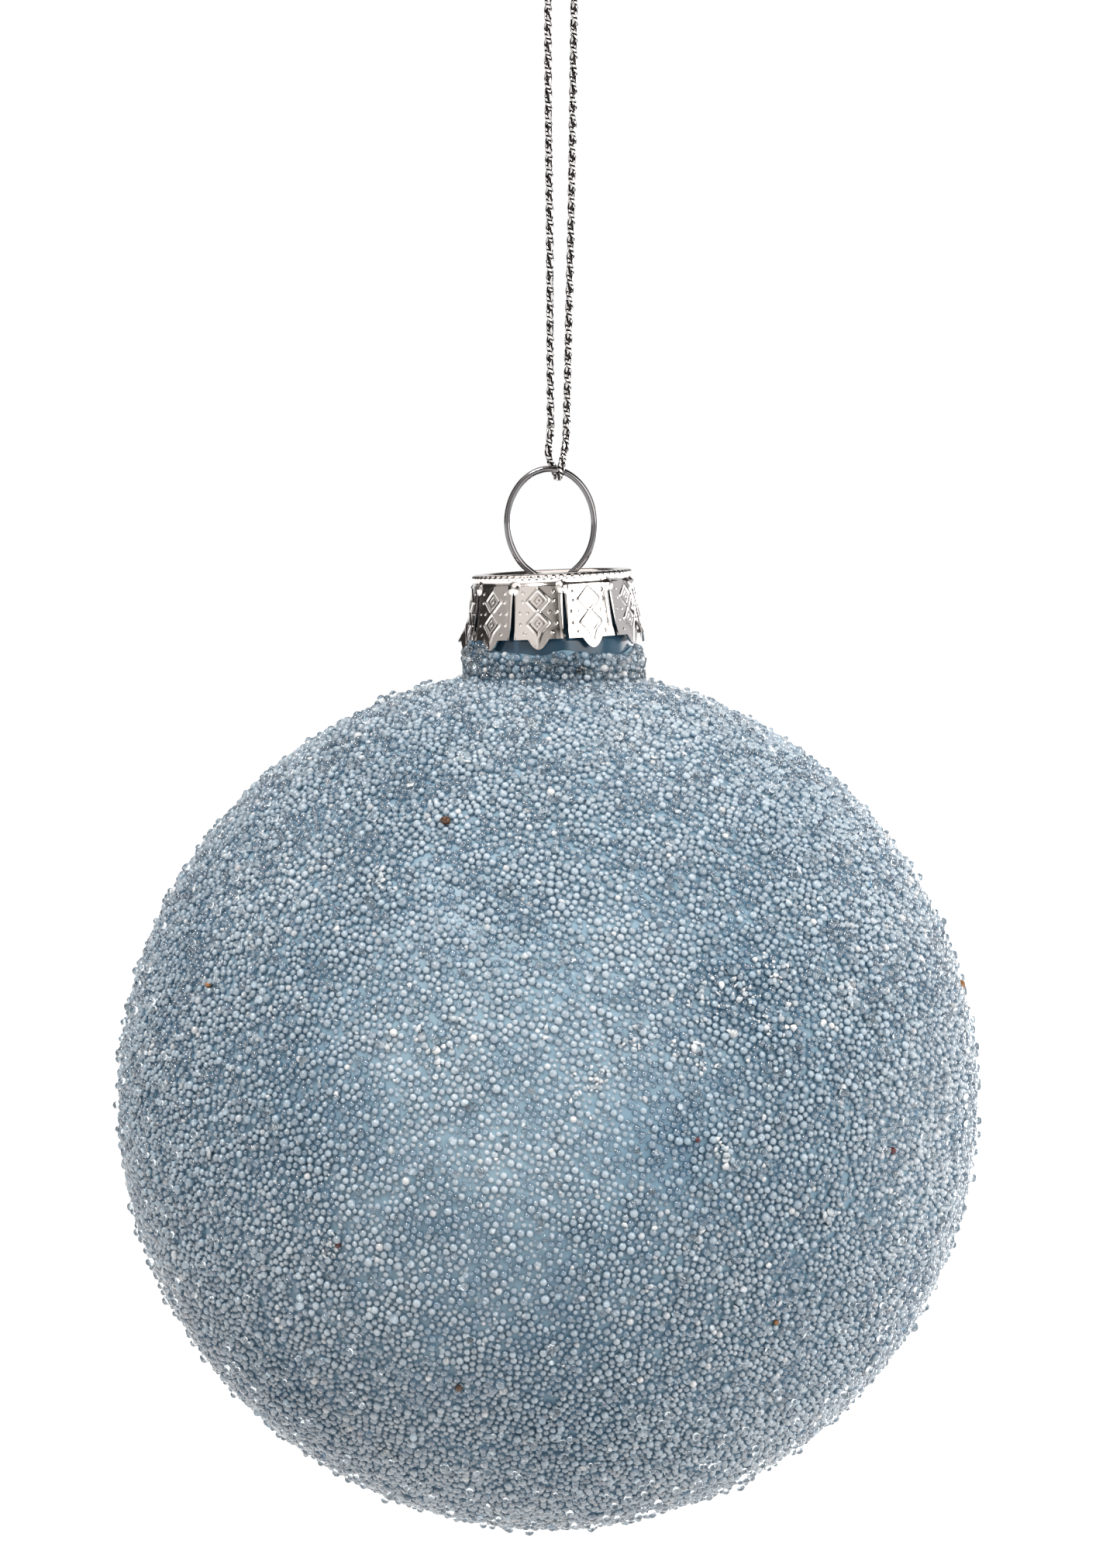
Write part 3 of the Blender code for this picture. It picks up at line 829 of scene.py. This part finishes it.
def mill_rim(cap):
    """Fine beads milled round the rim's shoulder, 66 of them."""
    pitch = math.tau / 66
    for vertex in cap.data.vertices:
        radius = math.hypot(vertex.co.x, vertex.co.y)
        depth = -vertex.co.z / MM
        if radius > 6.4 * MM and depth < 0.8:
            turn = (math.atan2(vertex.co.y, vertex.co.x) % pitch) / pitch - 0.5
            shape = swell(math.hypot(turn * 0.7, depth - 0.22), 0.3)
            vertex.co += Vector((vertex.co.x, vertex.co.y, 0.0)) / radius * 0.11 * shape * MM


# Ball


SPHERE_SEGMENTS = 160
SPHERE_ROWS = 120
OPENING = 8.1 * MM  # the sphere's top is cut off inside this radius, and the neck grows from its edge


def necked_sphere(radius, neck):
    """A sphere opened at the top, with its neck drawn up from there through (r, z) places in millimetres."""
    pick_only()
    bpy.ops.mesh.primitive_uv_sphere_add(
        segments=SPHERE_SEGMENTS, ring_count=SPHERE_ROWS, radius=radius, location=(0, 0, 0)
    )
    sphere = bpy.context.object
    bpy.ops.object.mode_set(mode="EDIT")
    select_where(sphere, lambda co: co.z > 0 and math.hypot(co.x, co.y) < OPENING)
    bpy.ops.mesh.delete(type="VERT")
    row = 180 / SPHERE_ROWS
    edge = math.radians(row * math.ceil(math.degrees(math.asin(OPENING / radius)) / row))
    ring = (radius * math.sin(edge), radius * math.cos(edge))
    select_where(sphere, lambda co: co.z > 0 and math.hypot(co.x, co.y) < ring[0] + 0.01 * MM)
    draw_profile([ring] + [(r * MM, z * MM) for r, z in neck])
    bpy.ops.object.mode_set(mode="OBJECT")
    return sphere


def lacquered_ball(finish):
    """A blown ball with its neck, given its wall."""
    neck = [
        (7.75, 38.85), (7.55, 39.4), (7.47, 40.0), (7.45, 40.8), (7.45, 42.6), (7.4, 43.0), (7.25, 43.3),
        (6.95, 43.7), (6.75, 44.1), (6.63, 44.6), (6.6, 45.4), (6.6, 47.2), (6.55, 47.42), (6.42, 47.56),
        (6.25, 47.6),
    ]
    ball = necked_sphere(BALL_RADIUS, neck)
    apply_modifier(ball, "SOLIDIFY", thickness=GLASS_WALL, offset=-1.0)
    return settle(ball, "lacquered_ball", [finish], place=Matrix.Translation(BALL))


def glue_rise(points):
    """How much deeper than its thinnest the glue is, in millimetres: deepest in the middle of the front."""
    middle = np.linalg.norm(points - np.array([(-3.0, -39.0, -1.0)]), axis=1)
    deep = 0.26 * np.clip(1 - (middle / 24) ** 2, 0, 1)
    return np.clip(deep + 0.12 * cloudiness(points, 7.0, 29), 0.0, 0.3) * (points[:, 2] < 34)


def bead_glue(finish):
    """The skin of glue round the ball and the foot of its neck, to a ragged edge just above the beads."""
    neck = [(7.95, 38.95), (7.75, 39.5), (7.7, 40.2), (7.69, 40.8), (7.66, 41.1), (7.6, 41.25)]
    glue = necked_sphere(GLUE_RADIUS, neck)
    for vertex in glue.data.vertices:
        place = np.array([tuple(vertex.co)]) / MM
        vertex.co *= 1 + glue_rise(place)[0] * MM / vertex.co.length
        if vertex.co.z > 40.5 * MM:
            vertex.co.z += (float(coat_edge(place)[0]) - 41.2) * MM * (vertex.co.z / MM - 40.2)
    apply_modifier(glue, "SOLIDIFY", thickness=0.18 * MM, offset=-1.0)
    return settle(glue, "bead_glue", [finish], place=Matrix.Translation(BALL))


# Beads

BEAD_RADIUS = 0.345  # in millimetres, as are the next four, which are distances from the ball's centre
BEAD_CENTRES = 39.55
PROUD_FOOT = 39.72
FLAKE_MIDDLE = 39.86
FLAKE_FOOT = 39.8
BEAD_COUNT = 43000
GORES = 10  # the crust is made in gores round the ball


def bead_form(rings, lift):
    """One bead of radius 1 with its foot at -Z, from a coarse sphere, as places and faces."""
    pick_only()
    bpy.ops.mesh.primitive_uv_sphere_add(segments=8, ring_count=rings, radius=1.0, location=(0, 0, 0))
    bead = bpy.context.object
    for vertex in bead.data.vertices:
        turn = math.atan2(math.hypot(vertex.co.x, vertex.co.y), vertex.co.z)
        if 0.01 < turn < math.pi - 0.01:
            around = math.atan2(vertex.co.y, vertex.co.x)
            turn *= lift
            vertex.co = Vector(
                (math.sin(turn) * math.cos(around), math.sin(turn) * math.sin(around), math.cos(turn))
            )
    points = np.array([tuple(v.co) for v in bead.data.vertices])
    faces = [tuple(p.vertices) for p in bead.data.polygons]
    bpy.data.objects.remove(bead)
    return points, faces


def strung(name, form, centres, ups, scales, spins, finish, attributes):
    """Copies of one form in one mesh, each turned up and scaled, centred in millimetres from the ball's
    centre. attributes are values for each copy or for each of its points."""
    points, faces = form
    centres = centres * MM + np.array(tuple(BALL))
    helper = np.where(np.abs(ups[:, 2:3]) < 0.9, (0.0, 0.0, 1.0), (1.0, 0.0, 0.0))
    first = np.cross(helper, ups)
    first = unit(first)
    second = np.cross(ups, first)
    c, s = np.cos(spins)[:, None], np.sin(spins)[:, None]
    first, second = first * c + second * s, second * c - first * s
    local = points[None] * scales[:, None]
    made = local[..., 0:1] * first[:, None] + local[..., 1:2] * second[:, None]
    made = (made + local[..., 2:3] * ups[:, None] + centres[:, None]).reshape(-1, 3)
    count, size = len(centres), len(points)
    mesh = bpy.data.meshes.new(name)
    mesh.vertices.add(count * size)
    mesh.vertices.foreach_set("co", made.astype(np.float32).ravel())
    lengths = np.array([len(f) for f in faces])
    corners = np.concatenate([np.array(f) for f in faces])
    all_corners = (corners[None] + np.arange(count)[:, None] * size).ravel()
    all_lengths = np.tile(lengths, count)
    mesh.loops.add(len(all_corners))
    mesh.loops.foreach_set("vertex_index", all_corners.astype(np.int32))
    mesh.polygons.add(len(all_lengths))
    starts = np.concatenate([[0], np.cumsum(all_lengths)[:-1]])
    mesh.polygons.foreach_set("loop_start", starts.astype(np.int32))
    mesh.polygons.foreach_set("use_smooth", np.ones(len(all_lengths), bool))
    mesh.update(calc_edges=True)
    for title, values in attributes.items():
        layer = mesh.attributes.new(title, "FLOAT", "POINT")
        layer.data.foreach_set("value", np.broadcast_to(values, (count, size)).astype(np.float32).ravel())
    mesh.materials.append(finish)
    return add_object(name, mesh)


def seat(points, radii):
    """Moves bead centres so that each bead touches the glass: the ball, or its neck. Places from the ball's
    centre, in millimetres."""
    ball, neck = BALL_RADIUS / MM, COLLAR_RADIUS / MM
    for _ in range(2):
        away = np.linalg.norm(points, axis=1)
        off_ball = away - ball
        round_axis = np.hypot(points[:, 0], points[:, 1])
        on_neck = (points[:, 2] > 30) & (round_axis - neck < off_ball)
        grow = np.where(on_neck, 1.0, (ball + radii) / away)
        points = points * grow[:, None]
        pull = np.where(on_neck, (neck + radii) / np.maximum(round_axis, 1e-6), 1.0)
        points[:, :2] *= pull[:, None]
    return points


def coat_edge(points):
    """How high the beads reach on the neck, round it: ragged, low in front and high on the left."""
    turn = np.arctan2(points[:, 0], -points[:, 1])
    high = 41.15 + 0.95 * np.clip(-np.sin(turn), 0, 1) ** 2 + 0.35 * np.clip(np.sin(turn), 0, 1)
    return high + 0.3 + 0.25 * np.sin(5 * turn + 1) + 0.15 * np.sin(11 * turn)


def neighbours(points, count):
    """The nearest other points of each point, as an index table."""
    tree = kdtree.KDTree(len(points))
    for i, p in enumerate(points):
        tree.insert(p, i)
    tree.balance()
    return np.array([[hit[1] for hit in tree.find_n(p, count + 1)][1:] for p in points])


def bead_sites():
    """Centres, in millimetres from the ball's centre, and radii of the crust's beads: a spiral of places on
    the ball and rows on the neck, shaken and then pushed apart until they lie side by side."""
    rng = np.random.default_rng(11)
    turn = math.pi * (3 - math.sqrt(5))
    step = np.arange(BEAD_COUNT) + 0.5
    height = 1 - 2 * step / BEAD_COUNT
    flat = np.sqrt(1 - height**2)
    ball = np.stack([flat * np.cos(turn * step), flat * np.sin(turn * step), height], 1) * BEAD_CENTRES
    ball = ball[(ball[:, 2] < 0) | (np.hypot(ball[:, 0], ball[:, 1]) > 8.2)]
    rows = []
    for row in range(7):
        around = (np.arange(72) + 0.5 * row) * math.tau / 72
        level = np.full(72, 39.0 + 0.61 * row)
        rows.append(np.stack([7.8 * np.cos(around), 7.8 * np.sin(around), level], 1))
    points = np.concatenate([ball, *rows])
    radii = np.clip(rng.normal(BEAD_RADIUS, 0.055, len(points)), 0.2, 0.5)
    points += rng.normal(0, 0.22, points.shape)
    lifts = rng.uniform(0, np.where(np.hypot(points[:, 0], points[:, 1]) < 8.6, 0.35, 0.12))
    points = seat(points, radii + lifts)
    for _ in range(3):
        near = neighbours(points, 7)
        for _ in range(4):
            apart = points[:, None] - points[near]
            distance = np.maximum(np.linalg.norm(apart, axis=2), 1e-6)
            overlap = np.clip(radii[:, None] + radii[near] - distance, 0, None)
            points = points + (apart / distance[..., None] * overlap[..., None]).sum(1) * 0.35
            points = seat(points, radii + lifts)
    keep = points[:, 2] < coat_edge(points)
    keep |= np.hypot(points[:, 0], points[:, 1]) > 8.6
    return points[keep], radii[keep]


def upward(points):
    """The outward direction at each place: from the ball's centre, or from the neck's axis."""
    out = points.copy()
    neck = (np.hypot(points[:, 0], points[:, 1]) < 8.4) & (points[:, 2] > 30)
    out[neck, 2] = 0.0
    return unit(out)


def cloudiness(points, size, seed):
    """Slow noise over places, from about -1 to 1."""
    return np.array([noise.noise(Vector(p) / size + Vector((seed, 0, 0))) for p in points])


def crust(finish, sites):
    """The crust of beads in gores, each bead touching the glass."""
    rng = np.random.default_rng(5)
    points, radii = sites
    ups = upward(points)
    ups += rng.normal(0, 0.05, ups.shape)
    ups = unit(ups)
    form = bead_form(3, 0.75)
    crown = form[0][:, 2]
    tint = np.clip(rng.normal(0.4, 0.16, len(points)), 0.0, 0.66)
    on_neck = (np.hypot(points[:, 0], points[:, 1]) < 8.6) & (points[:, 2] > 0)
    # Painted glints and light: more white beads on the neck, most on its right side, where the key light
    # falls, and more towards the ball's sides, most on the right.
    aside = np.clip(points[:, 0] / 7.5, -0.5, 1.0) ** 2
    chance = 0.022 + 0.025 * cloudiness(points, 6.0, 3) + (0.16 + 0.4 * aside) * on_neck
    frosted = rng.random(len(points)) < chance
    frosted |= rng.random(len(points)) < 0.06 * np.clip(points[:, 0] / 39, -0.6, 1.0) ** 2
    tint = np.where(frosted, rng.uniform(0.7, 1.0, len(points)), tint)
    chance = np.where(on_neck, 0.45, 0.28 + 0.5 * cloudiness(points, 5.0, 17))
    clear = np.where(rng.random(len(points)) < chance, 0.85, rng.uniform(0.2, 0.6, len(points)))
    gore = ((np.arctan2(points[:, 1], points[:, 0]) / math.tau + 0.5) * GORES).astype(int) % GORES
    made = []
    for i in range(GORES):
        mine = gore == i
        shown = {"crown": crown, "tint": tint[mine][:, None], "clear": clear[mine][:, None]}
        scales = np.repeat(radii[mine][:, None], 3, 1) * rng.uniform(0.97, 1.03, (mine.sum(), 3)) * MM
        spins = rng.uniform(0, math.tau, mine.sum())
        name = f"microbeads_{i + 1:02d}"
        made.append(strung(name, form, points[mine], ups[mine], scales, spins, finish, shown))
    return made


def loose_sites(rng, count, highest):
    """Random outward directions over the ball, up to a height of highest times its radius."""
    out = rng.normal(size=(count, 3))
    out = unit(out)
    return out[out[:, 2] < highest]


def proud_beads(finish):
    """Clear beads that lie in the dimples on top of the crust, close together on the neck."""
    rng = np.random.default_rng(8)
    out = loose_sites(rng, 3400, 0.97)
    radii = np.clip(rng.normal(0.31, 0.07, len(out)), 0.18, 0.5)
    centres = out * (PROUD_FOOT + radii * rng.uniform(0.55, 1.25, len(out)))[:, None]
    count = 420
    turn = rng.uniform(0, math.tau, count)
    size = np.clip(rng.normal(0.3, 0.06, count), 0.18, 0.42)
    off = 7.95 + size * rng.uniform(0.5, 1.2, count)
    on_neck = np.stack([off * np.sin(turn), -off * np.cos(turn), rng.uniform(39.4, 42.0, count)], 1)
    low = on_neck[:, 2] < coat_edge(on_neck) - 0.1
    centres = np.concatenate([centres, on_neck[low]])
    radii = np.concatenate([radii, size[low]])
    out = upward(centres)
    form = bead_form(4, 1.0)
    scales = np.repeat(radii[:, None], 3, 1) * MM
    spins = rng.uniform(0, math.tau, len(out))
    return strung("proud_beads", form, centres, out, scales, spins, finish, {})


# Where crushed glass lies thick on the front, in millimetres across and up, and how wide it spreads
SPARKLES = [
    ((19.4, 10.7), 1.4), ((14.3, 11.7), 1.5), ((17.0, 13.0), 1.2), ((-15.2, 22.0), 0.6),
    ((13.3, 7.1), 1.1), ((3.4, 4.5), 1.3), ((-10.4, 6.6), 1.6), ((27.0, 12.2), 0.8),
    ((19.8, 14.6), 0.9), ((-14.3, -31.1), 0.8), ((8.0, 7.9), 0.9), ((-8.0, 32.8), 0.8),
    ((-19.5, -11.0), 0.9), ((1.5, -38.0), 0.9), ((15.6, -1.4), 0.5), ((25.4, -8.1), 0.6),
]


def glass_flakes(finish):
    """Broken flakes of glass among the beads, lying at all angles, thick in some places."""
    rng = np.random.default_rng(21)
    thick = []
    for (across, up), spread in SPARKLES:
        middle = np.array(on_front(across, up, FLAKE_FOOT)) / FLAKE_FOOT
        near = middle + rng.normal(0, spread / FLAKE_FOOT, (int(8 + 10 * spread), 3))
        thick.append(unit(near))
    out = np.concatenate([loose_sites(rng, 1300, 0.965), *thick])
    size = np.clip(rng.lognormal(-1.45, 0.35, len(out)), 0.13, 0.5)
    lean = out + rng.normal(0, 0.35, out.shape)
    lean = unit(lean)
    centres = out * (FLAKE_MIDDLE + rng.uniform(-0.1, 0.12, len(out)))[:, None]
    scales = np.stack(
        [size, size * rng.uniform(0.5, 0.95, len(out)), size * rng.uniform(0.25, 0.5, len(out))], 1
    ) * MM
    points, faces = bead_form(3, 1.0)
    ragged = points * (1 + 0.18 * np.sin(points[:, 0:1] * 7 + points[:, 1:2] * 5))
    spins = rng.uniform(0, math.tau, len(out))
    tint = {"tint": rng.uniform(0.0, 1.0, (len(out), 1))}
    return strung("glass_flakes", (ragged, faces), centres, lean, scales, spins, finish, tint)


# Beads of other colours that got into the batch: millimetres across and up on the front, radius, colour
STRAYS = [
    ((31.0, -2.3), 0.36, "red"), ((-18.5, -10.5), 0.3, "red"), ((37.9, 11.0), 0.42, "amber"),
    ((-9.4, 27.0), 0.45, "brown"), ((-7.6, -23.4), 0.38, "brown"), ((-30.7, 11.7), 0.3, "amber"),
    ((13.3, -0.4), 0.26, "red"), ((20.7, -17.5), 0.26, "amber"),
]


def stray_beads(finishes):
    """The coloured beads of the front and a few more round the back, one piece for each colour."""
    rng = np.random.default_rng(3)
    places = {"red": [], "amber": [], "brown": []}
    for (across, up), radius, colour in STRAYS:
        out = np.array(on_front(across, up, CRUST_FOOT)) / CRUST_FOOT
        places[colour].append((out, radius))
    for i, out in enumerate(loose_sites(rng, 40, 0.9)):
        if out[1] > 0.2:
            places[("red", "amber", "brown")[i % 3]].append((out, rng.uniform(0.25, 0.4)))
    made = []
    for colour, beads in places.items():
        out = np.array([b[0] for b in beads])
        radii = np.array([b[1] for b in beads])
        centres = out * (CRUST_FOOT + radii * 0.9)[:, None]
        scales = np.stack([radii * 1.15, radii * 0.9, radii * 0.95], 1) * MM
        spins = rng.uniform(0, math.tau, len(out))
        name, form = f"stray_beads_{colour}", bead_form(8, 1.0)
        made.append(strung(name, form, centres, out, scales, spins, finishes[colour], {}))
    return made


# Making it all

make_camera()

thread = [foil_thread(), core_yarn()]
cord, cord_path, cord_length = hanging_cord(thread)
knot = loop_knot(thread)
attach(knot, "cord")
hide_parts("cord_knot")
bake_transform(cord)
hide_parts("cord_strand_left", "cord_bight", "cord_strand_right")

make_studio()
make_floor(floor_paper())

wire = hanger_wire(drawn_wire())
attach(wire, "hanger")
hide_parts("wire_hanger")

cap = pressed_cap(pressed_sheet())
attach(cap, "cap")
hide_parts("cap_crown")

ball = lacquered_ball(lacquered_glass())
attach(ball, "ball")
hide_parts("glass_ball")

strays = {
    "red": stray_glass("deep_red_bead_glass", "6e1220"),
    "amber": stray_glass("amber_bead_glass", "c98a4e"),
    "brown": stray_glass("brown_bead_glass", "6b4526"),
}
coat = crust(microbead_glass(), bead_sites())
coat += [bead_glue(hazy_adhesive()), proud_beads(clear_glass()), glass_flakes(flake_glass())]
coat += stray_beads(strays)
for piece in coat:
    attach(piece, "ball")
    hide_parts("bead_coat")

bpy.context.view_layer.update()
